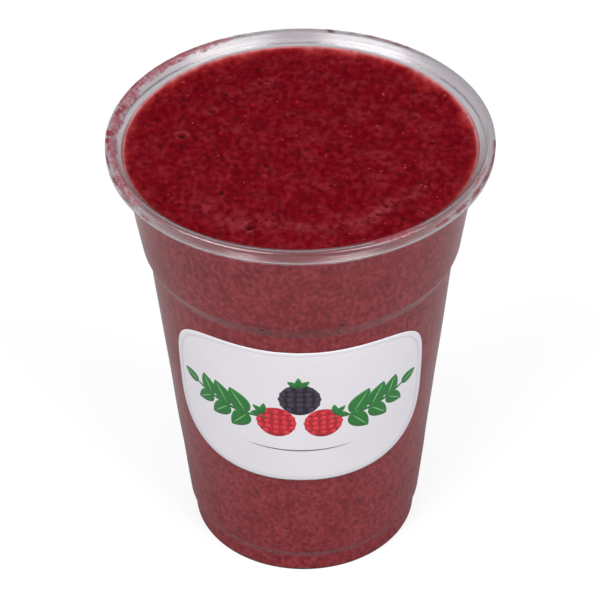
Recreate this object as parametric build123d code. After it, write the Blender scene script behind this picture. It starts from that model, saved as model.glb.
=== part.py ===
from build123d import *
import os
from math import atan2, copysign, cos, hypot, pi, radians, sin, tan

# A blended berry drink in a clear, thin-walled plastic cup with a plain sticker on its front.
# Lengths are in millimetres and angles in degrees. The cup stands on z = 0, centred on the Z axis,
# and the sticker faces -Y. Every profile is drawn as (radius, height) and turned about Z.

# Cup: overall sizes
cup_height = 120.0
rim_diameter = 95.0  # outside the rolled lip
wall = 0.5  # sheet thickness of the wall and the lip

# Cup: the wall flares out above the band, and its edge is rolled outward and down into the lip
lip_width = 2.4
lip_side = 1.7  # straight part of its outer side, between the two arcs
lip_curl = 125.0  # turn of the lip's last arc, from its outer side to its free edge
lip_reach = 3.4  # from the outside of the band to the outer side of the lip
lip_flare = 40.0  # slant of the flare, from upright
lip_rounding = 1.0

# Cup: upper band, the slanted step below it, and the long lower wall
band_height = 29.2  # from the top of the lip to the step
band_draft = 8.32
step_height = 3.8
step_depth = 1.72
step_rounding = 1.2
body_draft = 5.47

# Cup: base, with a ridge where the wall turns in, a foot ring and a raised floor
ridge_height = 7.9
ridge_rounding = 0.8
foot_height = 5.0
foot_inset = 1.3  # from the ridge in to the foot
foot_width = 3.2  # the ring that the cup stands on
foot_rounding = 0.6
heel_thickness = 1.5  # plastic between the foot and the drink
recess_height = 2.3  # the floor's underside is raised this much
recess_slope = 1.6  # width of the slope from the foot up to the recess
recess_rounding = 0.4
floor_thickness = 0.8

# Drink
headspace = 4.0  # from the top of the lip down to the edge of the drink
drink_crown = 0.3  # the middle of the surface stands this much above its edge
drink_gap = 0.03  # between the drink and the inside of the cup

# Sticker: a rounded shape, nearly straight along its top and fuller below, bent round the lower wall
label_width = 71.2
label_upper_height = 21.7  # from the widest part up to the top edge
label_lower_height = 24.2  # from the widest part down to the bottom edge
label_upper_squareness = 4.0
label_lower_squareness = 3.4
label_top_gap = 5.0  # from the foot of the slanted step down to the top edge
label_turn = -1.9  # the middle is turned this far from -Y, towards -X
label_thickness = 0.15
label_gap = 0.05  # glue between the wall and the sticker
quarter_points = 12  # spans of each quarter of the sticker's outline

os.makedirs("parts", exist_ok=True)

rim_radius = rim_diameter / 2
lip_radius = lip_width / 2
lip_middle = rim_radius - lip_radius
curl_start = cup_height - lip_radius  # where the wall runs into the curl
curl_end = curl_start - lip_side  # where the curl's outer side runs into its last arc
step_top = cup_height - band_height
step_foot = step_top - step_height
drink_edge = cup_height - headspace


def band_radius(height):
    """Outside of the upper band."""
    return rim_radius - lip_reach - tan(radians(band_draft)) * (curl_start - height)


def body_radius(height):
    """Outside of the lower wall."""
    return band_radius(step_top) - step_depth - tan(radians(body_draft)) * (step_foot - height)


foot_radius = body_radius(ridge_height) - foot_inset
recess_radius = foot_radius - foot_width


def flare(arc_radius, in_by):
    """The two ends of the flare on one side of the sheet: on the band, and on the lip's arc.

    in_by is how far that side lies inside the band's outside, and arc_radius is the arc it runs into.
    """
    slant = radians(lip_flare)
    spare = lip_middle - arc_radius / cos(slant) - band_radius(curl_start) + in_by
    bend = curl_start - spare / (tan(slant) - tan(radians(band_draft)))
    return (
        (band_radius(bend) - in_by, bend),
        (lip_middle - arc_radius * cos(slant), curl_start + arc_radius * sin(slant)),
    )


def outside():
    """Underside and outside of the cup, from the middle of the recess up to the lip's curl."""
    return FilletPolyline(
        (0, recess_height),
        (recess_radius - recess_slope, recess_height),
        (recess_radius, 0),
        (foot_radius, 0),
        (foot_radius, foot_height),
        (body_radius(ridge_height), ridge_height),
        (body_radius(step_foot), step_foot),
        (band_radius(step_top), step_top),
        *flare(lip_radius - wall, 0),
        radius=[
            recess_rounding,
            recess_rounding,
            foot_rounding,
            ridge_rounding,
            ridge_rounding,
            step_rounding,
            step_rounding + wall,
            lip_rounding,
        ],
    )


def inside(inset, end):
    """Inside of the cup, moved in by inset, from the middle of the floor up to the points of its end."""
    in_by = wall + inset
    return FilletPolyline(
        (0, recess_height + floor_thickness + inset),
        (recess_radius - recess_slope - inset, recess_height + floor_thickness + inset),
        (recess_radius - inset, heel_thickness + inset),
        (foot_radius - in_by, heel_thickness + inset),
        (foot_radius - in_by, foot_height),
        (body_radius(ridge_height) - in_by, ridge_height),
        (body_radius(step_foot) - in_by, step_foot),
        (band_radius(step_top) - in_by, step_top),
        *end,
        radius=[
            recess_rounding,
            recess_rounding,
            foot_rounding,
            ridge_rounding,
            ridge_rounding,
            step_rounding + wall,
            step_rounding,
            lip_rounding + wall,
        ][: 6 + len(end)],
    )


def make_cup():
    curl_radius = lip_radius - wall  # inside of the curl
    turn = 180 - lip_flare  # of the curl's first arc, from the flare over the top to its outer side
    with BuildPart() as cup:
        with BuildSketch(Plane.XZ):
            with BuildLine():
                inner = inside(0, flare(lip_radius, wall))
                outer = outside()
                over = CenterArc((lip_middle, curl_start), lip_radius, turn, -turn)
                under = CenterArc((lip_middle, curl_end), lip_radius, 0, -lip_curl)
                back_under = CenterArc((lip_middle, curl_end), curl_radius, -lip_curl, lip_curl)
                back_over = CenterArc((lip_middle, curl_start), curl_radius, 0, turn)
                Line(over @ 1, under @ 0)
                Line(under @ 1, back_under @ 0)
                Line(back_under @ 1, back_over @ 0)
                Line(outer @ 0, inner @ 0)
            make_face()
        revolve(axis=Axis.Z)
    return cup.part


def make_smoothie():
    with BuildPart() as drink:
        with BuildSketch(Plane.XZ):
            with BuildLine():
                side_end = (band_radius(drink_edge) - wall - drink_gap, drink_edge)
                side = inside(drink_gap, [side_end])
                edge_radius = (side @ 1).X
                crown_radius = (edge_radius**2 + drink_crown**2) / (2 * drink_crown)
                surface = RadiusArc(side @ 1, (0, drink_edge + drink_crown), -crown_radius)
                Line(surface @ 1, side @ 0)
            make_face()
        revolve(axis=Axis.Z)
    return drink.part


def label_outline():
    """Flat outline of the sticker in four quarters, anticlockwise from its right-hand side.

    |x / a|**n + |y / b|**n = 1, where a is half the width, and b and n differ above and below.
    """
    quarters = []
    for quarter in range(4):
        upper = quarter < 2
        reach = label_upper_height if upper else label_lower_height
        power = 2 / (label_upper_squareness if upper else label_lower_squareness)
        points = []
        for step in range(quarter_points + 1):
            angle = (quarter + step / quarter_points) * pi / 2
            right, top = round(cos(angle), 9), round(sin(angle), 9)
            across = copysign(abs(right) ** power, right) * label_width / 2
            up = copysign(abs(top) ** power, top) * reach
            points.append((across, up))
        quarters.append(points)
    return quarters


def cutter_end(distance, middle, lean, slant):
    """The sticker's outline bent round the cone, then carried out from the axis to a flat plane.

    The flat outline's distance and direction from the cone's tip give its place on the cone. Lines
    from the axis, at the height middle, carry it to the plane y = -distance.
    """
    with BuildSketch(Plane.XZ.offset(distance)) as end:
        with BuildLine():
            for quarter in label_outline():
                carried = []
                for across, up in quarter:
                    from_tip = hypot(slant + up, across)
                    turn = atan2(across, slant + up) / sin(lean)
                    rise = (from_tip - slant) * cos(lean)
                    spread = distance / (from_tip * sin(lean) * cos(turn))
                    carried.append((distance * tan(turn), middle + rise * spread))
                Spline(*carried)
        make_face()
    return end.sketch


def make_label():
    """A skin round the lower wall, cut to its outline along lines that leave the cup's axis."""
    lean = radians(body_draft)
    middle = step_foot - label_top_gap - label_upper_height * cos(lean)
    slant = (body_radius(middle) + label_gap) / sin(lean)  # from the cone's tip to the sticker's middle
    low = middle - 2 * label_lower_height
    high = middle + 2 * label_upper_height
    under = label_gap / cos(lean)
    over = (label_gap + label_thickness) / cos(lean)
    near_end = cutter_end(0.1 * rim_diameter, middle, lean, slant)
    far_end = cutter_end(rim_diameter, middle, lean, slant)
    with BuildPart() as label:
        with BuildSketch(Plane.XZ):
            Polygon(
                (body_radius(low) + under, low),
                (body_radius(low) + over, low),
                (body_radius(high) + over, high),
                (body_radius(high) + under, high),
                align=None,
            )
        revolve(axis=Axis.Z)
        loft([near_end, far_end], ruled=True, mode=Mode.INTERSECT)
    return label.part.rotate(Axis.Z, label_turn)


pieces = {
    "cup": make_cup(),
    "smoothie": make_smoothie(),
    "label": make_label(),
}

for name, piece in pieces.items():
    export_step(piece, f"parts/{name}.step")
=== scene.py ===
import math
from functools import partial

import bpy
import numpy as np
from mathutils import Matrix, Vector


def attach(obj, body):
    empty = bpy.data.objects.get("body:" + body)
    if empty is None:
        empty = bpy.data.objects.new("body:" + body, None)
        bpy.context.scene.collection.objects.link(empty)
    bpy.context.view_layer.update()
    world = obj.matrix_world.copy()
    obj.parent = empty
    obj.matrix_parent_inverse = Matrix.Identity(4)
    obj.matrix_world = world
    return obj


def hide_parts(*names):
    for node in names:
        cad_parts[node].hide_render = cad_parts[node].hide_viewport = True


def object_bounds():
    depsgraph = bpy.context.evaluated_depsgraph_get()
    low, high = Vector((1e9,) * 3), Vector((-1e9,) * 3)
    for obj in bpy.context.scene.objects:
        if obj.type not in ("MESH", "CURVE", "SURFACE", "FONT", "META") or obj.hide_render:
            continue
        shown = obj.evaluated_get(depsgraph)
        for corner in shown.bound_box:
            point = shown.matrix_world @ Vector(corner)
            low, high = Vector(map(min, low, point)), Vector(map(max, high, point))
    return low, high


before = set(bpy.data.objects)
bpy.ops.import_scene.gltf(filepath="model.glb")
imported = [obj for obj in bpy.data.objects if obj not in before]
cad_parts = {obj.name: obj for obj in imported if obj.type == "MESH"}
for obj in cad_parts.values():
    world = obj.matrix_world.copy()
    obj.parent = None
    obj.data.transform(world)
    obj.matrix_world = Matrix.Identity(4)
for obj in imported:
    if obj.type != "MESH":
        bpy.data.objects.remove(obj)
cadLow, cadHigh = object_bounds()

# A thick berry smoothie in a clear plastic cup with a sticker. Sizes are in millimetres until a
# mesh is written, angles in degrees. The cup stands on z = 0 round the Z axis and its sticker
# faces -Y, so a direction round the cup is counted from -Y towards +X.
mm = 0.001
seedOfAll = 4127  # every random draw follows from this

cup = {
    "height": (cadHigh.z - cadLow.z) / mm,
    "rimRadius": (cadHigh.x - cadLow.x) / mm / 2,
    "wall": 0.5,
    "lipWidth": 2.4,  # the lip is the wall rolled outward and down
    "lipSide": 1.7,  # straight part of the lip's outer side
    "lipCurl": 125.0,  # turn of the lip's last arc
    "lipReach": 3.4,  # from the band out to the lip's outer side
    "lipFlare": 40.0,  # slant of the sheet between the band and the lip, from upright
    "lipRounding": 1.0,
    "bandHeight": 29.2,  # from the top down to the slanted step
    "bandDraft": 8.32,
    "stepHeight": 3.8,
    "stepDepth": 1.72,
    "stepRounding": 1.2,
    "bodyDraft": 5.47,
    "ridgeHeight": 7.9,
    "ridgeRounding": 0.8,
    "footHeight": 5.0,
    "footInset": 1.3,
    "footWidth": 3.2,
    "footRounding": 0.6,
    "heel": 1.5,
    "recess": 2.3,
    "recessSlope": 1.6,
    "recessRounding": 0.4,
    "floor": 0.8,
    "around": 288,  # faces round the cup
    "rowStep": 2.5,  # longest face along the profile
    "ripple": 0.035,  # the sheet is this uneven
    "rippleSize": 17.0,
    "evenFoot": 9.0,  # but even this far up from the foot
    "evenLip": 7.0,  # and this far down from the top
    "evenFade": 12.0,  # with this much in between to fade
}

lipRadius = cup["lipWidth"] / 2
lipMiddle = cup["rimRadius"] - lipRadius
curlStart = cup["height"] - lipRadius  # where the wall runs into the lip
curlEnd = curlStart - cup["lipSide"]
stepTop = cup["height"] - cup["bandHeight"]
stepFoot = stepTop - cup["stepHeight"]


def bandRadius(height):
    # outside of the upper band: a straight cone that ends inside the lip
    lean = math.tan(math.radians(cup["bandDraft"]))
    return cup["rimRadius"] - cup["lipReach"] - lean * (curlStart - height)


def bodyRadius(height):
    # outside of the lower wall: a straight cone that ends at the foot of the step
    lean = math.tan(math.radians(cup["bodyDraft"]))
    return bandRadius(stepTop) - cup["stepDepth"] - lean * (stepFoot - height)


footRadius = bodyRadius(cup["ridgeHeight"]) - cup["footInset"]
recessRadius = footRadius - cup["footWidth"]


def linearColour(hexText):
    # each channel c becomes c / 12.92 up to 0.04045, and ((c + 0.055) / 1.055) ** 2.4 above it
    channels = [int(hexText[i:i + 2], 16) / 255 for i in (1, 3, 5)]
    return tuple(c / 12.92 if c <= 0.04045 else ((c + 0.055) / 1.055) ** 2.4 for c in channels) + (1.0,)


def addNode(tree, kind, inputs=None, **settings):
    # one node: a setting is an attribute, and an input is a value, a hex colour, a socket of another
    # node, or the other node itself, which stands for the first socket it gives out
    node = tree.nodes.new("ShaderNode" + kind)
    for name, value in settings.items():
        setattr(node, name, value)
    for name, value in (inputs or {}).items():
        if isinstance(value, bpy.types.Node):
            value = next(socket for socket in value.outputs if socket.enabled)
        if isinstance(value, bpy.types.NodeSocket):
            tree.links.new(value, node.inputs[name])
        else:
            node.inputs[name].default_value = linearColour(value) if isinstance(value, str) else value
    return node


def startMaterial(name):
    # an empty material, what adds a node to it, and the place on the object
    material = bpy.data.materials.new(name)
    material.use_nodes = True
    material.node_tree.nodes.clear()
    add = partial(addNode, material.node_tree)
    return material, add, add("TexCoord").outputs["Object"]


def waves(points, longest, shortest, count, seed):
    # a random field of about unit spread: the sum of sin(2 pi d.p / w + s) over count waves, with
    # random directions d, wavelengths w from longest to shortest and shifts s, over sqrt(count / 2)
    draw = np.random.default_rng(seedOfAll + seed)
    direction = draw.normal(size=(3, count))
    direction /= np.linalg.norm(direction, axis=0)
    length = np.exp(draw.uniform(np.log(shortest), np.log(longest), count))
    shift = draw.uniform(0, 2 * np.pi, count)
    return np.sin(points @ (direction * 2 * np.pi / length) + shift).sum(-1) / np.sqrt(count / 2)


def roundedPath(corners, radii, steps=7):
    # straight runs joined by arcs: an arc of radius q leaves the run q tan(turn / 2) before its corner
    corners = np.array(corners, float)
    parts = [corners[:1]]
    for before, corner, after, radius in zip(corners, corners[1:], corners[2:], radii):
        toCorner = (corner - before) / np.linalg.norm(corner - before)
        fromCorner = (after - corner) / np.linalg.norm(after - corner)
        turn = math.acos(np.clip(toCorner @ fromCorner, -1, 1))
        side = np.sign(toCorner[0] * fromCorner[1] - toCorner[1] * fromCorner[0])
        inward = side * np.array([-toCorner[1], toCorner[0]])
        start = corner - toCorner * radius * math.tan(turn / 2)
        angle = np.linspace(0, turn, steps)[:, None]
        parts.append(start + radius * (np.sin(angle) * toCorner + (1 - np.cos(angle)) * inward))
    return np.concatenate(parts + [corners[-1:]])


def arcPath(middle, radius, start, end, steps):
    # points at middle + radius (cos a, sin a), with a from start to end in degrees
    angle = np.radians(np.linspace(start, end, steps))[:, None]
    return np.array(middle) + radius * np.concatenate([np.cos(angle), np.sin(angle)], 1)


def evenSteps(path, longest):
    # each run of the path is cut into equal steps no longer than the given length
    run = np.diff(path, axis=0)
    count = np.maximum(1, np.ceil(np.linalg.norm(run, axis=1) / longest)).astype(int)
    step = np.arange(count.sum()) - np.repeat(np.cumsum(count) - count, count)
    share = (step / np.repeat(count, count))[:, None]
    points = np.repeat(path[:-1], count, 0) + np.repeat(run, count, 0) * share
    return np.concatenate([points, path[-1:]])


def roundCup(radius, a, height):
    # x = r sin a, y = -r cos a, z = h
    return np.stack([radius * np.sin(a), -radius * np.cos(a), height + 0 * a], -1)


def turned(profile, around):
    # each point (radius, height) of a profile in each direction round the cup
    return roundCup(profile[:, :1], np.arange(around) * 2 * np.pi / around, profile[:, 1:])


def closedRows(rows):
    # a closed skin over rows of points: the first and last rows are single points, the poles, and
    # each ring between them joins the next with four-sided faces
    rings = rows[1:-1]
    count, around = rings.shape[:2]
    points = np.concatenate([rows[:1, 0], rings.reshape(-1, 3), rows[-1:, 0]])
    here = 1 + np.arange(count * around).reshape(count, around)
    beside = np.roll(here, -1, 1)
    quads = np.stack([here[:-1], beside[:-1], beside[1:], here[1:]], -1).reshape(-1, 4)
    firstFan = np.stack([np.zeros(around, int), beside[0], here[0]], -1)
    lastFan = np.stack([here[-1], beside[-1], np.full(around, len(points) - 1)], -1)
    return points, quads, np.concatenate([firstFan, lastFan])


def joined(skins):
    # several skins as one, with each one's faces counted on from the points before it
    offset = np.cumsum([0] + [len(points) for points, quads, fans in skins])
    points = np.concatenate([skin[0] for skin in skins])
    quads = np.concatenate([skin[1] + start for skin, start in zip(skins, offset)])
    fans = np.concatenate([skin[2] + start for skin, start in zip(skins, offset)])
    return points, quads, fans


def makePiece(name, skin, material, replaced=None, values=None):
    # a smooth mesh of the skin, in metres, with its fields, riding on the root body
    points, quads, fans = skin
    mesh = bpy.data.meshes.new(name)
    mesh.from_pydata((points * mm).tolist(), [], quads.tolist() + fans.tolist())
    mesh.polygons.foreach_set("use_smooth", np.ones(len(mesh.polygons), bool))
    for field, value in (values or {}).items():
        mesh.attributes.new(field, "FLOAT", "POINT").data.foreach_set("value", value.astype(np.float32))
    mesh.materials.append(material)
    mesh.update()
    piece = bpy.data.objects.new(name, mesh)
    bpy.context.scene.collection.objects.link(piece)
    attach(piece, "root")
    if replaced:
        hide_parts(replaced)
    return piece


plasticLook = {
    "tint": "#FBF6F9",
    "ior": 1.49,
    "roughness": 0.21,
    "shadeTint": "#FAFAFB",  # what lamp light keeps after one face
    "rippleSize": 9.0,
    "rippleDepth": 0.12,
}


def clearPet():
    # Clear PET sheet, thermoformed to 0.5 mm: clear with a slight haze and glossy, it mirrors about 4 %
    # head on and much more at a glance, which greys the colour behind it. Lamp light passes straight,
    # as through any thin sheet.
    material, add, place = startMaterial("clearPet")
    ripple = add("TexNoise", {
        "Vector": place, "Scale": 1 / (plasticLook["rippleSize"] * mm), "Detail": 1.0})
    bump = add("Bump", {"Height": ripple, "Strength": 0.35, "Distance": plasticLook["rippleDepth"] * mm})
    shell = add("BsdfPrincipled", {"Base Color": plasticLook["tint"], "Transmission Weight": 1.0,
        "IOR": plasticLook["ior"], "Roughness": plasticLook["roughness"], "Normal": bump})
    straight = add("BsdfTransparent", {"Color": plasticLook["shadeTint"]})
    ray = add("LightPath")
    lampOrBounce = add("Math", {
        0: ray.outputs["Is Shadow Ray"], 1: ray.outputs["Is Diffuse Ray"]}, operation="MAXIMUM")
    both = add("MixShader", {0: lampOrBounce, 1: shell, 2: straight})
    add("OutputMaterial", {"Surface": both})
    return material


def flarePoints(radius, inBy):
    # a skin of the band bends out at a corner and runs at the flare's slant g into the lip's arc of the
    # given radius d. It meets the arc at middle + d (-cos g, sin g), and the corner is
    # (middle - d / cos g - band + inBy) / (tan g - tan draft) below the height of the arc's centre
    g = math.radians(cup["lipFlare"])
    room = lipMiddle - radius / math.cos(g) - bandRadius(curlStart) + inBy
    corner = curlStart - room / (math.tan(g) - math.tan(math.radians(cup["bandDraft"])))
    return [(bandRadius(corner) - inBy, corner),
            (lipMiddle - radius * math.cos(g), curlStart + radius * math.sin(g))]


def sheetPath(inset, inBy, floor, heel, roundings, end):
    # one skin of the cup, from the middle of its floor up to the points of its end. It lies inBy inside
    # the wall's outside, and inset is that without the wall; roundings are those of the step and lip
    ridge = cup["ridgeHeight"]
    return roundedPath([
        (0, floor), (recessRadius - cup["recessSlope"] - inset, floor), (recessRadius - inset, heel),
        (footRadius - inBy, heel), (footRadius - inBy, cup["footHeight"]),
        (bodyRadius(ridge) - inBy, ridge), (bodyRadius(stepFoot) - inBy, stepFoot),
        (bandRadius(stepTop) - inBy, stepTop), *end,
    ], [cup["recessRounding"]] * 2 + [cup["footRounding"]] + [cup["ridgeRounding"]] * 2 + roundings)


def insidePath(inset, heelInset, end):
    # the inside of the cup moved in by inset, and over its solid foot by heelInset more
    roundings = [cup["stepRounding"] + cup["wall"], cup["stepRounding"], cup["lipRounding"] + cup["wall"]]
    return sheetPath(inset, cup["wall"] + inset, cup["recess"] + cup["floor"] + inset,
                     cup["heel"] + inset + heelInset, roundings, end)


def pushedOut(points):
    # points moved away from the Z axis by the unevenness of the sheet, which fades at foot and lip
    height = points[..., 2]
    fade = np.clip((height - cup["evenFoot"]) / cup["evenFade"], 0, 1)
    fade *= np.clip((cup["height"] - cup["evenLip"] - height) / cup["evenFade"], 0, 1)
    ripple = cup["ripple"] * fade * waves(points, 2 * cup["rippleSize"], cup["rippleSize"], 24, 1)
    radius = np.maximum(np.linalg.norm(points[..., :2], axis=-1, keepdims=True), 1e-6)
    outward = np.concatenate([points[..., :2] / radius, 0 * radius], -1)
    return points + outward * ripple[..., None] * np.clip(radius - 20, 0, 1)


def makeCup():
    # the outside, the lip's arcs and the inside in one profile, turned about Z
    curl = lipRadius - cup["wall"]  # inside of the curl
    begin = 180 - cup["lipFlare"]
    roundings = [cup["stepRounding"], cup["stepRounding"] + cup["wall"], cup["lipRounding"]]
    outer = sheetPath(0, 0, cup["recess"], 0, roundings, flarePoints(curl, 0))
    lip = np.concatenate([
        arcPath((lipMiddle, curlStart), curl, begin, 0, 21)[1:],
        arcPath((lipMiddle, curlEnd), curl, 0, -cup["lipCurl"], 15),
        arcPath((lipMiddle, curlEnd), lipRadius, -cup["lipCurl"], 0, 17),
        arcPath((lipMiddle, curlStart), lipRadius, 0, begin, 25)[:-1],
    ])
    inner = insidePath(0, 0, flarePoints(lipRadius, cup["wall"]))[::-1]
    profile = evenSteps(np.concatenate([outer, lip, inner]), cup["rowStep"])
    rows = pushedOut(turned(profile, cup["around"]))
    return makePiece("cup_shell", closedRows(rows), clearPet(), "cup")


makeCup()
print("cup made")


drink = {
    "headspace": 4.0,  # from the top of the lip down to the drink
    "reach": 0.15,  # how far it reaches into the wall, so that no air shows between them
    "heelReach": 1.15,  # and further down into the solid foot, which shows its colour
    "climb": 0.75,  # it stands this much higher where it wets the wall
    "climbWidth": 0.8,
    "around": 500,
    "topStep": 0.36,
    "sideStep": 6.0,
    "edgeRows": [(0.08, 0.6), (0.02, 0.15)],  # more rows under the edge: in from it, down from it
    "pulp": 0.020,  # height of the bits of pulp that stand in the surface
    "pulpSize": 1.2,  # smallest wave among them
    "drawnOut": 0.74,  # along Y a pattern's steps count as this much, so its bits are longer that way
    "settled": 0.78,  # the same down the wall
    "clump": 0.10,  # height of the soft lumps
    "clumpSize": 11.0,
    "swirl": 0.03,  # height of the faint rings left by the blender
    "swirlStep": 6.5,
    "swirlWander": 1.4,
}

# burst bubbles on the surface: direction round the cup, distance from its axis, radius, depth
pits = [
    (-101, 29.6, 0.95, 0.75), (-21, 34, 1.05, 0.95), (40, 31.4, 0.75, 0.6), (33.5, 32.9, 0.7, 0.55),
    (113, 30.7, 0.8, 0.55), (-165, 30, 0.75, 0.5), (-126, 27, 0.8, 0.5), (62, 34.5, 0.5, 0.35),
    (-52, 36.5, 0.55, 0.4), (8, 36.8, 0.45, 0.35), (150, 22, 0.45, 0.3), (-12, 12, 0.5, 0.3),
]

drinkTop = cup["height"] - drink["headspace"]
drinkEdge = bandRadius(drinkTop) - cup["wall"]


def flatPlace(direction, distance):
    # x and y of a place on the drink: distance times (sin, -cos) of its direction
    return distance * np.sin(np.radians(direction)), -distance * np.cos(np.radians(direction))


def pulpGrain(points):
    # unit field of the bits of pulp in the surface, the same for their height and their colour
    return waves(points * [1, drink["drawnOut"], 0], 2.2 * drink["pulpSize"], drink["pulpSize"], 260, 2)


def drinkHeight(x, y):
    # surface level plus its grain, lumps, rings, climb at the wall and pits. A pit is a bowl
    # -depth exp(-(d / r)^2) with a raised ring of a quarter of its depth at 1.7 r
    radius = np.hypot(x, y)
    flat = np.stack([x, y, 0 * x], -1)
    grain = drink["pulp"] * pulpGrain(flat)
    clumpSize = drink["clumpSize"]
    lump = drink["clump"] * waves(flat * [1, drink["drawnOut"], 1], clumpSize, 0.5 * clumpSize, 24, 3)
    wander = drink["swirlWander"] * waves(flat, 40, 20, 12, 4)
    ring = drink["swirl"] * np.sin(2 * np.pi * (radius + wander) / drink["swirlStep"] + np.arctan2(y, x))
    height = drinkTop + grain + lump + ring
    for direction, distance, size, depth in pits:
        pitX, pitY = flatPlace(direction, distance)
        away = np.hypot(x - pitX, y - pitY) / size
        height += depth * (0.25 * np.exp(-((away - 1.7) / 0.5) ** 2) - np.exp(-away ** 2))
    nearWall = np.exp(-np.clip(drinkEdge - radius, 0, None) / drink["climbWidth"])
    return height * (1 - nearWall) + (drinkTop + drink["climb"]) * nearWall


def makeDrinkSkin():
    # the inside of the cup turned about Z, up to where the drink wets the wall, and then rings over
    # its surface in to the middle
    top = drinkTop + drink["climb"]
    end = [(bandRadius(top) - cup["wall"] + drink["reach"], top)]
    side = evenSteps(insidePath(-drink["reach"], -drink["heelReach"], end), drink["sideStep"])
    side = np.insert(side, -1, side[-1] - drink["edgeRows"], axis=0)
    across = np.arange(drinkEdge, 0, -drink["topStep"])
    rows = turned(np.concatenate([side, np.stack([across, 0 * across], 1), [(0, 0)]]), drink["around"])
    top = rows[len(side):]
    top[..., 2] = drinkHeight(top[..., 0], top[..., 1])
    rows[-1] = rows[-1].mean(0)
    rows[:len(side)] = pushedOut(rows[:len(side)])
    return closedRows(rows)


drinkLook = {
    "deep": "#55000A",  # juice between the bits
    "body": "#66030F",
    "pale": "#731620",  # bits of pulp with air in them
    "froth": "#7E2A33",  # fine foam, where more air came up
    "wallDeep": "#70131B",  # the same against the wall, where the plastic presses the bits flat, and painted lighter there: painted light that makes up for the light the sheet takes
    "wallBody": "#86232A",
    "wallPale": "#98383F",
    "warmEdge": "#A22826",  # painted glow: warmer and paler near the wall, where light comes through the thin drink
    "edge": "#C8868A",  # thin layer that climbs the wall, painted pale for the light that comes through it
    "darkFleck": "#340408",  # skin and seed, and the shade in the pits
    "grain": 1.65,  # size of a bit of pulp
    "wallFiner": 1.5,  # against the wall the grain is finer by this
    "grainShare": (0.70, 0.86),  # how much it counts, on the surface and against the wall
    "reliefShare": 0.034,  # and how much the bits that stand up do
    "lump": 4.5,
    "lumpShare": 0.30,
    "toBody": (-0.17, 0.03),  # juice turns to pulp between these levels of the mix
    "toPale": (0.0, 0.24),  # and pulp to its palest bits
    "fleck": 1.7,  # one cell of the pattern of flecks
    "fleckWide": (0.5, 0.15),  # shares of a cell where it begins and where it is full
    "fleckCover": (0.85, 0.5),  # how dark the darkest is, on the surface and against the wall
    "laidOver": [  # field, its colour, its cover where the grain is dark and where it is pale
        ("froth", "froth", 0.1, 1.25), ("wallGlow", "warmEdge", 0.5, 1.15),
        ("wallFilm", "edge", 0.65, 1.1), ("pitShade", "darkFleck", 0.8, 1.1),
    ],
    "patchy": (-0.12, 0.13),  # levels of the mix that count as dark and as pale for these
    "roughness": 0.42,
    "ior": 1.36,
    "shine": 0.04,
    "filmCover": 0.8,
    "filmWidth": 0.24,
    "glowCover": 0.68,
    "glowWidth": 1.5,
    "edgeWander": 0.28,  # how much both widths wander along the wall
    "edgeWave": (16, 5),
    "lipShade": 0.92,  # the lip shades both at the front by this
    "paintedFootSheen": 0.9,  # against the wall the grain is this much paler at the foot, a painted reflection of the pale floor
    "paleBelow": 75.0,  # and begins to pale here
    "paleOver": 60.0,
}

froth = {
    "ring": 34.0,  # most foam gathers this far out, towards the front
    "ringWander": 1.5,
    "ringWave": (30, 15),
    "ringWidth": 2.4,
    "ringCover": 0.55,
    "cloudWave": (14, 3),
    "cloudCover": 0.2,
    "rimAt": 1.55,  # the raised rim of a pit, in its radii
    "rimWidth": 0.45,
    "rimCover": 1.2,
    "pitWidth": 0.75,  # the shade inside it
    "pitCover": 1.5,
}


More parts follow.
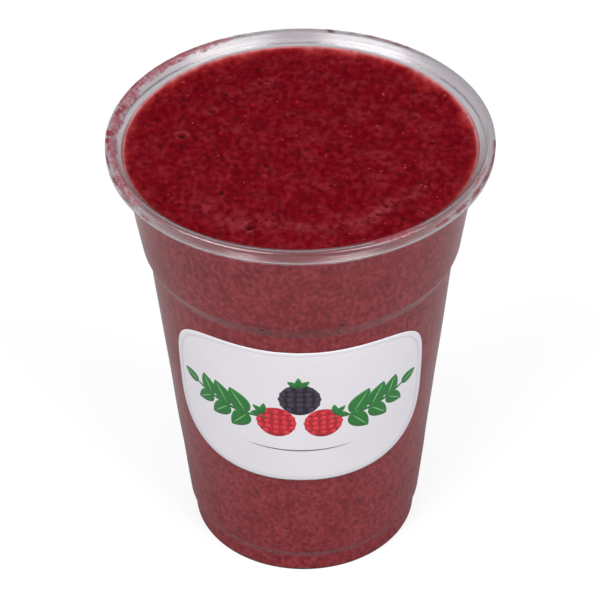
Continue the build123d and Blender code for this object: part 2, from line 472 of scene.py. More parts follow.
def blendedFruit(name):
    # Blended berries: wet pulp in juice, cut by blades to bits of about 1 mm. It has a fine uneven
    # grain of dark juice and paler bits, a few skin and seed flecks, and a soft wet sheen.
    material, add, place = startMaterial(name)
    beside = add("Attribute", attribute_name="againstWall").outputs["Fac"]
    relief = add("Attribute", attribute_name="pulpGrain").outputs["Fac"]
    stretch = (1, drink["drawnOut"], drink["settled"])
    poured = add("VectorMath", {0: place, 1: stretch}, operation="MULTIPLY")
    finer = add("MapRange", {"Value": beside, "To Min": 1.0, "To Max": drinkLook["wallFiner"]})
    fitted = add("VectorMath", {0: poured, "Scale": finer}, operation="SCALE")
    grain = add("TexNoise", {
        "Vector": fitted, "Scale": 1 / (drinkLook["grain"] * mm), "Detail": 2.0, "Roughness": 0.5})
    lump = add("TexNoise", {
        "Vector": poured, "Scale": 1 / (drinkLook["lump"] * mm), "Detail": 2.0, "Roughness": 0.5})
    # the three together, less their middle: half of what the two noises can add
    top, side = drinkLook["grainShare"]
    share = add("MapRange", {"Value": beside, "To Min": top, "To Max": side})
    fine = add("Math", {0: grain, 1: share}, operation="MULTIPLY")
    raised = add("Math", {0: relief, 1: drinkLook["reliefShare"], 2: fine}, operation="MULTIPLY_ADD")
    mixed = add("Math", {0: lump, 1: drinkLook["lumpShare"], 2: raised}, operation="MULTIPLY_ADD")
    middle = add("Math", {0: share, 1: 0.5, 2: 0.5 * drinkLook["lumpShare"]}, operation="MULTIPLY_ADD")
    level = add("Math", {0: mixed, 1: middle}, operation="SUBTRACT")
    toBody, toPale = [add("MapRange", {"Value": level, "From Min": least, "From Max": most})
                      for least, most in (drinkLook["toBody"], drinkLook["toPale"])]
    tones = [add("Mix", {0: beside, 6: drinkLook[top], 7: drinkLook[side]}, data_type="RGBA")
             for top, side in [("deep", "wallDeep"), ("body", "wallBody"), ("pale", "wallPale")]]
    body = add("Mix", {0: toBody, 6: tones[0], 7: tones[1]}, data_type="RGBA")
    pulp = add("Mix", {0: toPale, 6: body, 7: tones[2]}, data_type="RGBA")

    cell = add("TexVoronoi", {
        "Vector": poured, "Scale": 1 / (drinkLook["fleck"] * mm), "Randomness": 1.0})
    pick = add("SeparateColor", {0: cell.outputs["Color"]})
    begin, full = drinkLook["fleckWide"]
    near = add("MapRange", {"Value": cell.outputs["Distance"], "From Min": begin, "From Max": full})
    top, side = drinkLook["fleckCover"]
    darkest = add("MapRange", {"Value": beside, "To Min": top, "To Max": side})
    isDark = add("MapRange", {"Value": pick, "From Min": 0.5, "To Max": darkest})
    dark = add("Math", {0: near, 1: isDark}, operation="MULTIPLY")
    darkened = add("Mix", {0: dark, 6: pulp, 7: drinkLook["darkFleck"]}, data_type="RGBA")

    # the fields laid over it, each patchy with the grain
    colour = darkened
    low, high = drinkLook["patchy"]
    for field, tone, least, most in drinkLook["laidOver"]:
        spread = add("Attribute", attribute_name=field)
        patchy = add("MapRange", {
            "Value": level, "From Min": low, "From Max": high, "To Min": least, "To Max": most})
        amount = add("Math", {0: spread.outputs["Fac"], 1: patchy}, operation="MULTIPLY", use_clamp=True)
        colour = add("Mix", {0: amount, 6: colour, 7: drinkLook[tone]}, data_type="RGBA")
    bump = add("Bump", {"Height": level, "Strength": 0.25, "Distance": 0.3 * mm})
    skin = add("BsdfPrincipled", {"Base Color": colour, "Roughness": drinkLook["roughness"],
        "IOR": drinkLook["ior"], "Specular IOR Level": drinkLook["shine"], "Normal": bump})
    add("OutputMaterial", {"Surface": skin})
    return material


def drinkFields(points):
    # patterns on the drink. With d the distance from the wall and w a width that wanders along it, the
    # film there is exp(-d / w) and the warm painted glow of light through the thin drink exp(-(d /
    # w)^1.5), and the lip shades both at the front with painted shade.
    # Foam lies on a ring exp(-((r - ring - wander) / width)^2) that fades to the sides, on clouds and on
    # the pits' rims; a pit is dark inside, a painted shade. Against the wall the grain is painted paler
    # downwards, a painted reflection of the floor
    x, y, z = points.T
    radius = np.maximum(np.hypot(x, y), 1e-6)
    flat = points * [1, 1, 0]
    onTop = (z > drinkTop - 2) * (radius < drinkEdge + drink["reach"] + 0.12)
    onTop[(z < drinkTop + 0.4) * (radius > drinkEdge + 0.05)] = False
    away = np.clip(drinkEdge - radius, 0, None)
    shade = onTop * (1 - drinkLook["lipShade"] * np.clip(0.25 - y / radius, 0, 1) ** 1.5)
    wander = np.exp(drinkLook["edgeWander"] * waves(flat, *drinkLook["edgeWave"], 30, 5))
    film = drinkLook["filmCover"] * np.exp(-away / (drinkLook["filmWidth"] * wander)) * shade
    glow = drinkLook["glowCover"] * np.exp(-(away / (drinkLook["glowWidth"] * wander)) ** 1.5) * shade
    low = drinkLook["paintedFootSheen"] * np.clip((drinkLook["paleBelow"] - z) / drinkLook["paleOver"], 0, 1)

    off = radius - froth["ring"] - froth["ringWander"] * waves(flat, *froth["ringWave"], 8, 6)
    ring = np.exp(-(off / froth["ringWidth"]) ** 2)
    ring *= np.clip(-y / np.maximum(radius, 1), 0, 1) ** 1.5 * froth["ringCover"]
    cloud = waves(flat * [1, drink["drawnOut"], 1], *froth["cloudWave"], 60, 7)
    pale = ring + froth["cloudCover"] * np.clip(0.6 * cloud + 0.1, 0, 1)
    dark = 0 * pale
    for direction, distance, size, depth in pits:
        pitX, pitY = flatPlace(direction, distance)
        away = np.hypot(x - pitX, y - pitY) / size
        pale += froth["rimCover"] * depth * np.exp(-((away - froth["rimAt"]) / froth["rimWidth"]) ** 2)
        dark += froth["pitCover"] * depth * np.exp(-(away / froth["pitWidth"]) ** 2)
    inside = (z > drinkTop - 2) * (radius < drinkEdge)
    return {"wallFilm": film, "wallGlow": glow, "againstWall": 1.0 - onTop,
            "pulpGrain": np.where(onTop, pulpGrain(points), low),
            "froth": np.clip(pale, 0, 1) * inside, "pitShade": np.clip(dark, 0, 1) * inside}


drinkSkin = makeDrinkSkin()
makePiece("smoothie_body", drinkSkin, blendedFruit("blendedFruit"), "smoothie",
          drinkFields(drinkSkin[0]))
print("drink made")


# small bits: how many, length from and to, shares of it that are its width and thickness, colour
bits = {
    "seed": (22, 0.50, 0.95, 0.60, 0.35, "#9A3A1E"),
    "skin": (150, 0.40, 0.95, 0.75, 0.35, "#3A0509"),
    "pulp": (70, 0.40, 0.90, 0.85, 0.35, "#8A3038"),
    "flesh": (36, 0.40, 0.90, 0.75, 0.35, "#980A16"),
}

# larger ones: kind, direction round the cup, distance from the axis, length
placedBits = [
    ("seed", 136.5, 30.5, 1.3), ("seed", 113.5, 20.8, 1.1), ("seed", 21.5, 18.3, 1.1),
    ("seed", 69.7, 26.9, 1), ("skin", 165.4, 30.5, 1.5), ("flesh", -178.8, 19.5, 1.6),
    ("flesh", -147.2, 21.4, 1.2), ("flesh", -106.7, 20.2, 1.1), ("pulp", 120, 42, 1.3),
    ("pulp", -134.4, 40.9, 1.3), ("pulp", -164.8, 30.1, 1.2),
]

# and against the wall: kind, direction round the cup, height, length
wallBits = [
    ("seed", 12.6, 97.8, 1), ("seed", 24.9, 97.2, 1.1), ("pulp", -18.6, 93.2, 1.5),
    ("skin", 13.6, 91.6, 1.5), ("skin", -14.4, 90, 1.2), ("skin", 6.5, 27.5, 1.1),
    ("pulp", -5.5, 33, 1.3), ("skin", 26, 24.5, 1.2), ("pulp", 38, 26, 1.2),
    ("skin", -24, 21, 1.1), ("skin", -9, 17, 1), ("skin", 57, 99, 1.1),
]

bitLook = {
    "juice": "#640A12",
    "patch": 0.4,
    "roughness": 0.35,
    "ior": 1.4,
    "shine": 0.06,
    "outTo": 41.8,  # bits float out to this radius
    "sunk": 0.2,  # share of its thickness that a bit is sunk in
    "tilt": 0.3,  # spread of their tilt, in radians
    "fewer": 3,  # against the wall they are fewer by this
    "longer": 0.2,  # and longer by this
    "low": 10.0,  # from this height
    "high": 3.0,  # up to this far below the surface
    "flat": 0.12,  # where the wall presses them this thin
}


def ball(around=8, rings=4):
    # (cos v sin u, -cos v cos u, sin v) with v from the lower pole to the upper one
    v = np.radians(np.linspace(-90, 90, rings + 2))
    return closedRows(turned(np.stack([np.cos(v), np.sin(v)], 1), around))


def scattered(skin, places, sizes, turn, tilt):
    # copies of a small skin: each is stretched by its three sizes, tilted about X, turned about Z and
    # moved to its place
    points, quads, fans = skin
    x, y, z = np.moveaxis(points[None] * sizes[:, None], -1, 0)
    turn, tilt = turn[:, None], tilt[:, None]
    y, z = y * np.cos(tilt) - z * np.sin(tilt), y * np.sin(tilt) + z * np.cos(tilt)
    x, y = x * np.cos(turn) - y * np.sin(turn), x * np.sin(turn) + y * np.cos(turn)
    start = np.arange(len(places))[:, None, None] * len(points)
    return ((np.stack([x, y, z], -1) + places[:, None]).reshape(-1, 3),
            (quads + start).reshape(-1, 4), (fans + start).reshape(-1, 3))


def wetBit(name, hexText):
    # A bit of seed, skin or flesh, wetted by the juice: its own colour in soft patches, slightly glossy
    material, add, place = startMaterial(name)
    patch = add("TexNoise", {"Vector": place, "Scale": 1 / (bitLook["patch"] * mm), "Detail": 2.0})
    spread = add("MapRange", {"Value": patch, "From Min": 0.25, "From Max": 0.55})
    tone = add("Mix", {0: spread, 6: bitLook["juice"], 7: hexText}, data_type="RGBA")
    face = add("BsdfPrincipled", {"Base Color": tone, "Roughness": bitLook["roughness"],
        "IOR": bitLook["ior"], "Specular IOR Level": bitLook["shine"]})
    add("OutputMaterial", {"Surface": face})
    return material


def makeBits():
    # for each kind, squashed balls at the places listed and at random ones: on the surface, sunk in a
    # little, and then against the wall
    for order, (kind, (count, least, most, width, thickness, hexText)) in enumerate(bits.items()):
        draw = np.random.default_rng(seedOfAll + 20 + order)
        placed = np.array([place[1:] for place in placedBits if place[0] == kind]).reshape(-1, 3)
        direction = np.concatenate([placed[:, 0], draw.uniform(-180, 180, count)])
        distance = np.concatenate([placed[:, 1], bitLook["outTo"] * np.sqrt(draw.uniform(0, 1, count))])
        length = np.concatenate([placed[:, 2], least + (most - least) * draw.uniform(0, 1, count) ** 2])
        x, y = flatPlace(direction, distance)
        thick = length * thickness
        places = np.stack([x, y, drinkHeight(x, y) - bitLook["sunk"] * thick], -1)
        sizes = np.stack([length, length * width, thick], -1) / 2
        onTop = scattered(ball(), places, sizes, draw.uniform(0, 2 * np.pi, len(x)),
                          draw.normal(0, bitLook["tilt"], len(x)))
        against = np.array([place[1:] for place in wallBits if place[0] == kind]).reshape(-1, 3)
        more = count // bitLook["fewer"]
        direction = np.concatenate([against[:, 0], draw.uniform(-180, 180, more)])
        height = draw.uniform(bitLook["low"], drinkTop - bitLook["high"], more)
        height = np.concatenate([against[:, 1], height])
        length = np.concatenate([against[:, 2], draw.uniform(least, most, more) + bitLook["longer"]])
        wall = np.where(height > stepFoot + cup["stepHeight"] / 2, bandRadius(height), bodyRadius(height))
        x, y = flatPlace(direction, wall - cup["wall"] + drink["reach"])
        sizes = np.stack([length, bitLook["flat"] + 0 * length, length * width], -1) / 2
        onSide = scattered(ball(), np.stack([x, y, height], -1), sizes, np.radians(direction), 0 * x)
        makePiece("bits_" + kind, joined([onTop, onSide]), wetBit(kind + "Bit", hexText))


makeBits()
print("bits made")


label = {
    "width": 71.2,
    "upperHeight": 21.7,  # from the widest part up to the top edge
    "lowerHeight": 24.2,
    "upperSquareness": 4.0,
    "lowerSquareness": 3.4,
    "topGap": 5.0,  # from the foot of the step down to the top edge
    "turn": -1.9,
    "thickness": 0.15,
    "glue": 0.05,
    "bevel": 0.12,  # the cut edge is this much rounded
    "margin": 1.5,  # unprinted border
    "marginReach": 24.0,  # from the middle to the edge, where the border is measured
    "around": 300,
    "rings": 44,
}

lean = math.radians(cup["bodyDraft"])
labelMiddle = stepFoot - label["topGap"] - label["upperHeight"] * math.cos(lean)
labelSlant = bodyRadius(labelMiddle) / math.sin(lean)  # from the wall cone's tip to the sticker's middle
paperTop = label["glue"] + label["thickness"]


def onLabel(across, up, lift):
    # a flat sheet bent round the wall: its distance f and angle g from the cone's tip stay the same, so
    # the direction round the cup is g / sin(lean), the radius f sin(lean) and the height f cos(lean),
    # and lift moves the point straight out of the wall
    fromTip = np.hypot(labelSlant + up, across)
    around = np.arctan2(across, labelSlant + up) / math.sin(lean) + math.radians(label["turn"])
    radius = fromTip * math.sin(lean) + lift * math.cos(lean)
    height = labelMiddle + (fromTip - labelSlant) * math.cos(lean) - lift * math.sin(lean)
    return roundCup(radius, around, height)


def film(outlineX, outlineY, middle, rings, lowLift, highLift, bevel, place=onLabel):
    # a thin closed sheet on the cup: rings at middle + t (outline - middle), over its face and back
    # under it, with the face rounded down to the edge over the last bevel, each laid down by place
    reach = np.hypot(outlineX - middle[0], outlineY - middle[1]).max()
    inner = 1 - bevel / reach
    t = np.concatenate([np.linspace(0, inner, rings), [(1 + 2 * inner) / 3, 1, 1], [inner, 0.6, 0.3, 0]])
    high = np.concatenate([np.ones(rings), [0.8, 0.4, 0], [0, 0, 0, 0]])
    t, high = t[:, None], high[:, None]
    x = middle[0] + t * (outlineX - middle[0])
    y = middle[1] + t * (outlineY - middle[1])
    return closedRows(place(x, y, lowLift + high * (highLift - lowLift))[:, ::-1])


paperLook = {
    "deep": "#E5E1E6",
    "pale": "#EDEAEF",
    "line": "#C6C2CA",
    # the border's tone is painted shade, toned down to take back the light that the rounded edge catches
    "border": "#E4E2E8",
    "fibre": 0.6,
    "cloud": 14.0,
    "roughness": 0.38,
    "ior": 1.5,
}


def stickerPaper():
    # White coated sticker paper, die-cut: smooth, a little glossy, with a faint fibre unevenness under
    # the coat. The print stops short of the edge at a fine line, and the border beyond it is toned down a
    # little, a painted shade that takes back the light its rounded edge catches.
    material, add, place = startMaterial("stickerPaper")
    fibre = add("TexNoise", {"Vector": place, "Scale": 1 / (paperLook["fibre"] * mm), "Detail": 3.0})
    cloud = add("TexNoise", {"Vector": place, "Scale": 1 / (paperLook["cloud"] * mm), "Detail": 2.0})
    border = add("Attribute", attribute_name="border")
    tone = add("Mix", {0: cloud, 6: paperLook["deep"], 7: paperLook["pale"]}, data_type="RGBA")
    # border runs from 0 to 1 across the unprinted margin: the line lies at 0.3, the edge beyond in its
    # toned-down colour, a painted shade
    offLine = add("Math", {0: border.outputs["Fac"], 1: 0.3}, operation="SUBTRACT")
    offLine = add("Math", {0: offLine}, operation="ABSOLUTE")
    line = add("MapRange", {"Value": offLine, "From Min": 0.16, "From Max": 0.04, "To Max": 0.6})
    lined = add("Mix", {0: line, 6: tone, 7: paperLook["line"]}, data_type="RGBA")
    edge = add("MapRange", {"Value": border.outputs["Fac"], "From Min": 0.35, "From Max": 0.6})
    colour = add("Mix", {0: edge, 6: lined, 7: paperLook["border"]}, data_type="RGBA")
    bump = add("Bump", {"Height": fibre, "Strength": 0.15, "Distance": 0.02 * mm})
    face = add("BsdfPrincipled", {"Base Color": colour, "Roughness": paperLook["roughness"],
        "IOR": paperLook["ior"], "Normal": bump})
    add("OutputMaterial", {"Surface": face})
    return material


def makeLabel():
    # its outline is |x / a|^n + |y / b|^n = 1, with its own b and n above and below the widest part
    angle = np.arange(label["around"]) * 2 * np.pi / label["around"]
    c, s = np.cos(angle), np.sin(angle)
    power = 2 / np.where(s >= 0, label["upperSquareness"], label["lowerSquareness"])
    reach = np.where(s >= 0, label["upperHeight"], label["lowerHeight"])
    x = label["width"] / 2 * np.sign(c) * np.abs(c) ** power
    y = reach * np.sign(s) * np.abs(s) ** power
    skin = film(x, y, (0, 0), label["rings"], label["glue"], paperTop, label["bevel"])
    # the rows of the face run out from its middle, so a row's share tells how near the edge it is
    share = np.concatenate([np.linspace(0, 1, label["rings"]), np.ones(5)])
    border = np.concatenate([[0], np.repeat(share[1:], label["around"])])
    border = np.clip((border - 1) * label["marginReach"] / label["margin"] + 1, 0, 1)
    border = np.concatenate([border, np.ones(len(skin[0]) - len(border))])
    makePiece("sticker", skin, stickerPaper(), "label", {"border": border})


makeLabel()
print("sticker made")


# dried juice: direction round the cup, place over the lip (0 is its crest, outward counts up), length,
# width, cover
smears = [
    (-92, 0.2, 3.4, 2.6, 1), (-88, 0.5, 2.8, 2.2, 1), (-84.5, 0.1, 2.2, 1.4, 0.7),
    (-94, 1.6, 2, 1.6, 0.9), (-103, -0.5, 3.6, 1.8, 0.9), (-106, -1.2, 2.4, 1.2, 0.7),
    (-110, 0.2, 6, 1.2, 0.5),
    (-82, -0.8, 15, 3.4, 0.32), (-98, -1, 14, 3.6, 0.42), (-114, -0.8, 15, 3.4, 0.42),
    (-131, -0.6, 15, 3.2, 0.38), (-148, -0.4, 14, 2.8, 0.25), (-64, 0.6, 15, 3.6, 0.25),
    (72, 1.9, 15, 1.8, 0.14), (30, 0, 14, 2.6, 0.16), (150, 0.6, 12, 2, 0.1),
    (-119, 0.4, 7, 1.1, 0.7), (-127, 0.6, 6, 0.9, 0.6), (-134, 0.7, 4.5, 1.3, 0.8),
    (-140, 0.6, 3.6, 1.6, 0.95), (-146, 0.8, 5.2, 1.1, 0.75), (-152, 0.9, 3.4, 0.9, 0.6),
    (-160, 0.8, 6, 0.7, 0.45), (-79, 1.6, 6.5, 1.2, 0.6), (-70, 2.2, 7.5, 1.2, 0.6),
    (-60, 2.6, 6.5, 1, 0.55), (-50, 2.9, 5, 0.8, 0.45), (170, 1, 3.2, 2, 1),
    (163, 0.8, 2, 0.8, 0.5), (157, 0.4, 1.6, 1.3, 0.65), (146, 1.3, 7.5, 0.7, 0.55),
    (138, 1.4, 5, 0.6, 0.45), (84, 1.4, 4.5, 1.5, 0.8), (77, 1.9, 6.5, 1.5, 0.8),
    (69, 2.2, 6.5, 1.4, 0.75), (61, 2.3, 7, 1.5, 0.7), (52, 2.2, 7, 1.4, 0.6), (44, 2.4, 6, 1.2, 0.5),
    (66, 0.2, 9, 1, 0.45), (26.5, -0.7, 5.6, 1.9, 0.95), (22.5, 0.1, 3.6, 1.2, 0.7),
    (31, -0.3, 4, 1, 0.55), (16, -1.2, 1, 0.9, 1),
]

juiceLook = {
    "thin": "#B0606C",
    "thick": "#7A202B",
    "roughness": 0.4,
    "ior": 1.4,
    "shine": 0.2,
    "under": 0.004,  # from the plastic to the film's underside
    "lift": 0.05,  # and to its top
    "bevel": 0.2,
    "crumb": 1.3,  # size of the patches it dries into
    "crumbShare": 1.6,
    "bareTo": 0.55,  # the plastic shows below this
    "fullFrom": 1.7,
    "cover": 0.86,
    "around": 36,
    "rings": 7,
}


def onLip(across, along, lift):
    # a sheet laid over the lip's section. With R its radius, the angle a = 90 deg - along / R stays
    # between 0, the outer side, and 180 deg - flare. The point is middle + (R + lift) (cos a, sin a),
    # moved straight on by what is left of along
    steepest = math.pi - math.radians(cup["lipFlare"])
    a = np.clip(math.pi / 2 - along / lipRadius, 0, steepest)
    rest = along - (math.pi / 2 - a) * lipRadius
    radius = lipMiddle + (lipRadius + lift) * np.cos(a) + rest * np.sin(a)
    height = curlStart + (lipRadius + lift) * np.sin(a) - rest * np.cos(a)
    return roundCup(radius, across / lipMiddle, height)


def driedJuice():
    # Juice that dried on the lip: a thin uneven film with torn edges, red where thin and brown-red
    # where it is thick, satin
    material, add, place = startMaterial("driedJuice")
    crumb = add("TexNoise", {"Vector": place, "Scale": 1 / (juiceLook["crumb"] * mm), "Detail": 1.5})
    cover = add("Attribute", attribute_name="cover")
    amount = add("Math", {
        0: crumb, 1: juiceLook["crumbShare"], 2: cover.outputs["Fac"]}, operation="MULTIPLY_ADD")
    torn = add("MapRange", {"Value": amount, "From Min": juiceLook["bareTo"],
        "From Max": juiceLook["fullFrom"], "To Max": juiceLook["cover"]})
    tone = add("Mix", {0: torn, 6: juiceLook["thin"], 7: juiceLook["thick"]}, data_type="RGBA")
    face = add("BsdfPrincipled", {"Base Color": tone, "Roughness": juiceLook["roughness"],
        "IOR": juiceLook["ior"], "Specular IOR Level": juiceLook["shine"], "Alpha": torn})
    add("OutputMaterial", {"Surface": face})
    return material


def makeSmears():
    # each outline is an ellipse whose radius wavers by 0.18 sin(2a + p) + 0.14 sin(3a + q) +
    # 0.1 sin(5a + r), and its cover falls from 1 in the middle to 0.2 near the edge and 0 at it
    draw = np.random.default_rng(seedOfAll + 40)
    around, rings = juiceLook["around"], juiceLook["rings"]
    a = np.arange(around) * 2 * np.pi / around
    fade = np.concatenate([1 - 0.8 * np.linspace(0, 1, rings) ** 2, [0.1, 0, 0], [0, 0.5, 0.9, 1]])
    fade = np.concatenate([fade[:1], np.repeat(fade[1:-1], around), fade[-1:]])
    skins, covers = [], []
    for direction, along, length, width, cover in smears:
        p, q, r = draw.uniform(0, 2 * np.pi, 3)
        waver = 1 + 0.18 * np.sin(2 * a + p) + 0.14 * np.sin(3 * a + q) + 0.1 * np.sin(5 * a + r)
        across = math.radians(direction) * lipMiddle
        points, quads, fans = film(
            across + length / 2 * waver * np.cos(a), along + width / 2 * waver * np.sin(a),
            (across, along), rings, juiceLook["under"], juiceLook["lift"], juiceLook["bevel"], onLip)
        skins.append((points, quads[:, ::-1], fans[:, ::-1]))
        covers.append(cover * fade)
    makePiece("juice_smears", joined(skins), driedJuice(),
              values={"cover": np.concatenate(covers)})


makeSmears()
print("smears made")


ink = {
    "lift": 0.012,  # each layer of ink stands this much above the one below
    "sink": 0.02,  # and reaches this far into the paper
    "bevel": 0.03,
    "spacing": 1.2,  # widest ring of a printed shape, so that it follows the bend
    "blot": 0.8,
    "thin": 0.88,  # its colour is multiplied by this where it lies thinnest
    "thick": 1.08,
    "roughness": 0.35,
    "ior": 1.5,
}


def printedInk(name, hexText):
    # Offset ink on coated paper: even, opaque and satin, a little uneven where the ink lies thicker
    material, add, place = startMaterial(name)
    lay = add("TexNoise", {"Vector": place, "Scale": 1 / (ink["blot"] * mm), "Detail": 2.0})
    tone = add("MapRange", {
        "Value": lay, "From Min": 0.3, "From Max": 0.7, "To Min": ink["thin"], "To Max": ink["thick"]})
    colour = add("Mix", {0: 1.0, 6: hexText, 7: tone}, data_type="RGBA", blend_type="MULTIPLY")
    face = add("BsdfPrincipled", {"Base Color": colour, "Roughness": ink["roughness"], "IOR": ink["ior"]})
    add("OutputMaterial", {"Surface": face})
    return material


def inkShape(outlineX, outlineY, middle, length, layer):
    # one printed shape: a film from just inside the paper up to the top of its layer of ink
    rings = max(3, int(length / 2 / ink["spacing"]) + 1)
    return film(outlineX, outlineY, middle, rings, paperTop - ink["sink"], paperTop + layer * ink["lift"],
                ink["bevel"])


def leafShape(x, y, length, width, heading, layer=1):
    # a leaf from its stalk at (x, y): half its width is w/2 s^0.55 (1 - s)^0.9 / 0.382 at the share s
    # of its length, which is w/2 at its widest
    s = np.concatenate([np.linspace(0, 1, 25), np.linspace(1, 0, 25)[1:-1]])
    side = np.concatenate([np.ones(25), -np.ones(23)])
    half = width / 2 * s ** 0.55 * (1 - s) ** 0.9 / 0.382
    c, d = math.cos(math.radians(heading)), math.sin(math.radians(heading))
    along, across = s * length, -side * half
    middle = (x + 0.45 * length * c, y + 0.45 * length * d)
    return inkShape(x + along * c - across * d, y + along * d + across * c, middle, length, layer)


def discShape(x, y, width, height, layer=1):
    # an ellipse: (w / 2 cos a, h / 2 sin a)
    a = np.arange(28) * 2 * np.pi / 28
    longest = max(width, height)
    return inkShape(x + width / 2 * np.cos(a), y + height / 2 * np.sin(a), (x, y), longest, layer)


def strokeShape(corners, width, taper, layer=1):
    # a stroke along the quadratic curve (1-u)^2 p + 2 u (1-u) q + u^2 r, as wide as
    # width (1 - taper |2u - 1|^2.5), closed over its face, its edges and its back
    (px, py), (qx, qy), (rx, ry) = corners
    u = np.linspace(0, 1, 41)
    x = (1 - u) ** 2 * px + 2 * u * (1 - u) * qx + u ** 2 * rx
    y = (1 - u) ** 2 * py + 2 * u * (1 - u) * qy + u ** 2 * ry
    dx, dy = np.gradient(x), np.gradient(y)
    size = np.hypot(dx, dy)
    half = width / 2 * (1 - taper * np.abs(2 * u - 1) ** 2.5)
    across = np.array([-1, 1, 1, -1])
    high = np.array([1, 1, 0, 0])
    gridX = x[:, None] - dy[:, None] / size[:, None] * half[:, None] * across
    gridY = y[:, None] + dx[:, None] / size[:, None] * half[:, None] * across
    lift = paperTop - ink["sink"] + high * (ink["sink"] + layer * ink["lift"]) + 0 * gridX
    ring = onLabel(gridX, gridY, lift)[:, ::-1]
    first, last = ring[0].mean(0), ring[-1].mean(0)
    rows = np.concatenate([np.broadcast_to(first, (1, 4, 3)), ring, np.broadcast_to(last, (1, 4, 3))])
    return closedRows(rows[::-1])


def drupeletShapes(x, y, size, rows):
    # small discs in rows inside a round outline of the given size, on the berry's own ink
    draw = np.random.default_rng(seedOfAll + int(100 + x))
    step = size / rows
    shapes = []
    for row in range(rows):
        v = (row - (rows - 1) / 2) * step * 0.92
        half = math.sqrt(max(0.0, (size / 2 - step * 0.2) ** 2 - v ** 2))
        count = max(1, round(2 * half / step + 0.3))
        for place in np.linspace(-half, half, count) * (1 if count > 1 else 0):
            wide = step * draw.uniform(*garland["drupelet"])
            shapes.append(discShape(x + place, y + v, wide, wide, 2))
    return shapes


garland = {
    # of the left half, which the right half mirrors
    "stalk": [(-8.6, -1.6), (-18, -2.6), (-28, 1.4)],
    "leaves": [  # across, up, length, width, heading
        (-13.4, -1.8, 8.6, 5.6, 122), (-13, -1.8, 7.6, 5, 232), (-18.4, -1.3, 8, 5.2, 118),
        (-18.2, -1.3, 7, 4.6, 226), (-23.2, -0.3, 6.8, 4.4, 112), (-23, -0.3, 6, 4, 218),
        (-27.8, 1.3, 5.2, 3.4, 158),
    ],
    "redBerries": [(-5.8, -3, 10, 140), (6, -3.2, 9.6, 42)],  # across, up, size, where its crown is
    "darkBerry": (0.2, 5.4, 10.4, 92),
    "underline": [(-13, -12.4), (0, -13.6), (13, -12.4)],
    "crownLeaf": (3.4, 1.7),
    "crownIn": 0.7,  # the crown's leaves start this far inside the berry
    "berryTall": 1.04,  # height over width of a berry
    "drupelets": 5,  # rows of them
    "drupeletsIn": 0.96,  # share of the berry that they fill
    "drupelet": (0.74, 0.84),  # width of one, in rows
    "stalkStroke": (0.9, 0.3),  # width, and how much it tapers to its ends
    "veinStroke": (0.38, 0.8),
    "underlineStroke": (0.5, 0.85),
    "inks": {
        "green": "#1F7430", "veins": "#7DB873", "red": "#B01224", "red_pale": "#DC3340",
        "dark": "#120A16", "dark_pale": "#3A2C44", "grey": "#7C7981",
    },
}


def crownLeaves(x, y, size, heading):
    # three small leaves on a berry's rim, fanned out by 55 deg about its heading
    turn = math.radians(heading)
    rim = size / 2 - garland["crownIn"]
    x, y = x + rim * math.cos(turn), y + rim * math.sin(turn)
    return [leafShape(x, y, *garland["crownLeaf"], heading + fan, 3) for fan in (-55, 0, 55)]


def veinShape(x, y, length, heading):
    # a thin stroke along the middle of a leaf, from 0.12 to 0.86 of its length
    turn = math.radians(heading)
    corners = [(x + share * length * math.cos(turn), y + share * length * math.sin(turn))
               for share in (0.12, 0.5, 0.86)]
    return strokeShape(corners, *garland["veinStroke"], 2)


def makePrint():
    # two sprigs that mirror each other, three berries with crowns, and a line below
    leaves = garland["leaves"]
    leaves = leaves + [(-x, y, size, width, 180 - turn) for x, y, size, width, turn in leaves]
    berries = garland["redBerries"] + [garland["darkBerry"]]
    green = [leafShape(*leaf) for leaf in leaves]
    green += [strokeShape([(side * x, y) for x, y in garland["stalk"]], *garland["stalkStroke"])
              for side in (1, -1)]
    green += sum([crownLeaves(*berry) for berry in berries], [])
    veins = [veinShape(x, y, size, turn) for x, y, size, width, turn in leaves]
    flesh = [discShape(x, y, size, size * garland["berryTall"]) for x, y, size, turn in berries]
    drupelets = [drupeletShapes(x, y, size * garland["drupeletsIn"], garland["drupelets"])
                 for x, y, size, turn in berries]
    line = [strokeShape(garland["underline"], *garland["underlineStroke"])]
    printed = [green, veins, flesh[:-1], sum(drupelets[:-1], []), flesh[-1:], drupelets[-1], line]
    for (name, hexText), shapes in zip(garland["inks"].items(), printed):
        makePiece("print_" + name, joined(shapes), printedInk("print_" + name + "_ink", hexText))


makePrint()
print("print made")


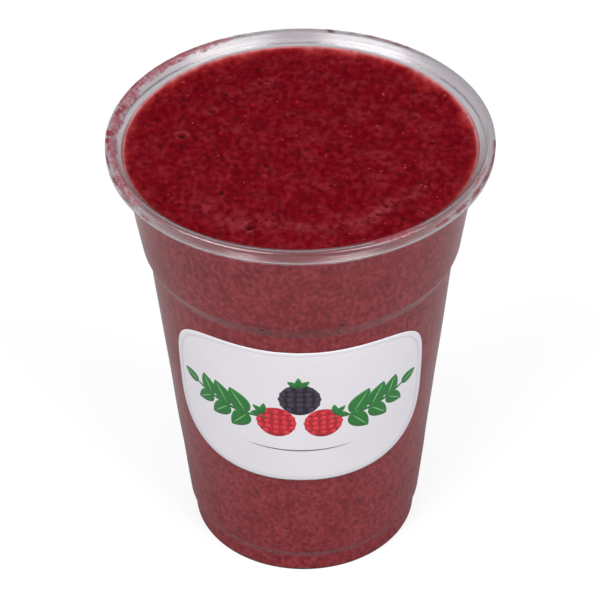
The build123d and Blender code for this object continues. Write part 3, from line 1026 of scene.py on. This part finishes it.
studio = {
    "floorSize": 6.0,  # metres from here on
    "floorDrop": 0.00006,
    "floorColour": "#959597",
    "floorGlow": 0.72,  # added for the camera, so that the floor is white
    "floorSheen": 0.14,  # added in gloss, outside the cup's own shade
    "shadeFrom": 0.038,  # which ends between these two distances
    "shadeTo": 0.065,
    "farSheen": 0.4,  # and more far out, where only the lip mirrors the floor: a painted reflection that brightens the lip's side
    "farFrom": 0.12,
    "farTo": 0.17,
    # painted highlights: patches where the floor glows brightly for gloss alone, which only the lip
    # mirrors: direction, distance, radius, strength
    "shines": [(25.5, 0.200, 0.070, 6.0), (-30.7, 0.200, 0.050, 6.0)],
    "shineCore": 0.3,  # share of the radius that is full
    "paperGrain": 900.0,  # bits of its paper in a metre
    "paperDeep": 0.985,  # its colour is multiplied by this between them
    "floorThrough": 0.17,  # added through clear plastic
    "skyWhite": "#FFFFFF",
    "skyLow": "#BEBEC2",  # the room as gloss and glass show it, at the horizon
    "skyTop": "#75757B",  # and overhead
    "skyRise": (0.05, 0.55),  # it darkens between these heights of a unit direction
    "skyFill": 0.44,  # soft light from all round
    "lamps": [  # direction round the cup, elevation, distance, width, height, radiance
        ("keyLamp", -48, 44, 1.15, 0.84, 0.66, 5.6),
        ("fillLamp", 50, 42, 1.20, 0.80, 0.76, 5.3),
        ("topLamp", 170, 62, 1.30, 0.60, 0.40, 1.0),
    ],
}

camera = {  # metres and degrees, with the lens and its sensor in mm
    "distance": 0.650,
    "elevation": 39.05,
    "roll": -0.775,
    "aimAside": -0.00059,
    "aimHeight": 0.0679,
    "lens": 152.4,
    "sensor": 36.0,
}


def floorMaterial():
    # Matt white paper: it takes the shadow, and a plain glow brings it to white for the camera
    material, add, place = startMaterial("whitePaperSweep")
    ray = add("LightPath")
    away = add("VectorMath", {0: place}, operation="LENGTH")
    beyondShade = add("MapRange", {"Value": away, "From Min": studio["shadeFrom"],
        "From Max": studio["shadeTo"], "To Max": studio["floorSheen"]}, interpolation_type="SMOOTHSTEP")
    # painted reflection: far out the floor glows more in gloss, so that the lip's side mirrors it brighter
    farOut = add("MapRange", {"Value": away, "From Min": studio["farFrom"], "From Max": studio["farTo"],
        "To Max": studio["farSheen"]}, interpolation_type="SMOOTHSTEP")
    sheen = add("Math", {0: beyondShade, 1: farOut})
    # painted highlights: patches where the floor glows brightly in gloss alone, for the lip to mirror
    for direction, distance, radius, strength in studio["shines"]:
        x, y = flatPlace(direction, distance)
        off = add("VectorMath", {0: place, 1: (x, y, 0)}, operation="DISTANCE")
        shine = add("MapRange", {"Value": off, "From Min": radius, "To Max": strength,
            "From Max": studio["shineCore"] * radius}, interpolation_type="SMOOTHSTEP")
        sheen = add("Math", {0: sheen, 1: shine})
    # a ray through clear plastic counts as a glossy one too, so it is taken off the mirrored ones
    mirrored = add("Math", {0: ray.outputs["Is Glossy Ray"], 1: ray.outputs["Is Transmission Ray"]},
        operation="SUBTRACT", use_clamp=True)
    glow = 0.0
    for kind, strength in [(ray.outputs["Is Camera Ray"], studio["floorGlow"]),
                           (mirrored, sheen),
                           (ray.outputs["Is Transmission Ray"], studio["floorThrough"])]:
        glow = add("Math", {0: kind, 1: strength, 2: glow}, operation="MULTIPLY_ADD")
    grain = add("TexNoise", {"Vector": place, "Scale": studio["paperGrain"]})
    tone = add("MapRange", {"Value": grain, "To Min": studio["paperDeep"], "To Max": 1.0})
    colour = add("Mix", {0: 1.0, 6: studio["floorColour"], 7: tone}, data_type="RGBA",
        blend_type="MULTIPLY")
    paper = add("BsdfDiffuse", {"Color": colour})
    light = add("Emission", {"Strength": glow})
    both = add("AddShader", {0: paper, 1: light})
    add("OutputMaterial", {"Surface": both})
    return material


def makeFloor():
    # a square of paper just below the foot
    half = studio["floorSize"] / 2
    drop = -studio["floorDrop"]
    mesh = bpy.data.meshes.new("floor")
    mesh.from_pydata([(-half, -half, drop), (half, -half, drop), (half, half, drop), (-half, half, drop)],
                     [], [(0, 1, 2, 3)])
    mesh.materials.append(floorMaterial())
    floor = bpy.data.objects.new("floor", mesh)
    bpy.context.scene.collection.objects.link(floor)


def makeWorld():
    # even fill light for matt surfaces, white for the camera, and for gloss and clear plastic a room
    # that is pale at the horizon and darker overhead
    world = bpy.data.worlds.new("studio")
    world.use_nodes = True
    world.node_tree.nodes.clear()
    add = partial(addNode, world.node_tree)
    towards = add("TexCoord")
    upward = add("SeparateXYZ", {0: towards.outputs["Generated"]})
    low, high = studio["skyRise"]
    rise = add("MapRange", {
        "Value": upward.outputs["Z"], "From Min": low, "From Max": high}, interpolation_type="SMOOTHSTEP")
    room = add("Mix", {0: rise, 6: studio["skyLow"], 7: studio["skyTop"]}, data_type="RGBA")
    ray = add("LightPath")
    sky = add("Mix", {0: ray.outputs["Is Camera Ray"], 6: room, 7: studio["skyWhite"]}, data_type="RGBA")
    seen = add("Math", {
        0: ray.outputs["Is Camera Ray"], 1: ray.outputs["Is Glossy Ray"]}, operation="MAXIMUM")
    seen = add("Math", {0: seen, 1: ray.outputs["Is Transmission Ray"]}, operation="MAXIMUM")
    shown = add("Background", {"Color": sky, "Strength": 1.0})
    fill = add("Background", {"Color": (1, 1, 1, 1), "Strength": studio["skyFill"]})
    both = add("MixShader", {0: seen, 1: fill, 2: shown})
    add("OutputWorld", {"Surface": both})
    bpy.context.scene.world = world


def makeLamps():
    # a soft box of radiance b and area s shines with a power of pi b s
    aim = Vector((0, 0, cup["height"] * mm / 2))
    for name, direction, elevation, distance, width, height, radiance in studio["lamps"]:
        a, e = math.radians(direction), math.radians(elevation)
        away = Vector((math.sin(a) * math.cos(e), -math.cos(a) * math.cos(e), math.sin(e)))
        data = bpy.data.lights.new(name, "AREA")
        data.shape = "RECTANGLE"
        data.size, data.size_y = width, height
        data.energy = math.pi * radiance * width * height
        lamp = bpy.data.objects.new(name, data)
        lamp.location = aim + away * distance
        lamp.rotation_mode = "QUATERNION"
        lamp.rotation_quaternion = away.to_track_quat("Z", "Y")
        bpy.context.scene.collection.objects.link(lamp)


def makeCamera():
    # the camera looks along +Y and down by its elevation, turned about its own line of sight by roll
    data = bpy.data.cameras.new("camera")
    data.lens = camera["lens"]
    data.sensor_width = camera["sensor"]
    view = bpy.data.objects.new("camera", data)
    e = math.radians(camera["elevation"])
    away = Vector((0, -math.cos(e), math.sin(e)))
    aim = Vector((camera["aimAside"], 0, camera["aimHeight"]))
    turn = Matrix.Rotation(math.pi / 2 - e, 4, "X") @ Matrix.Rotation(math.radians(camera["roll"]), 4, "Z")
    view.matrix_world = Matrix.Translation(aim + away * camera["distance"]) @ turn
    bpy.context.scene.collection.objects.link(view)
    bpy.context.scene.camera = view


makeFloor()
makeWorld()
makeLamps()
makeCamera()
bpy.context.scene.view_settings.view_transform = "Standard"
print("studio made")
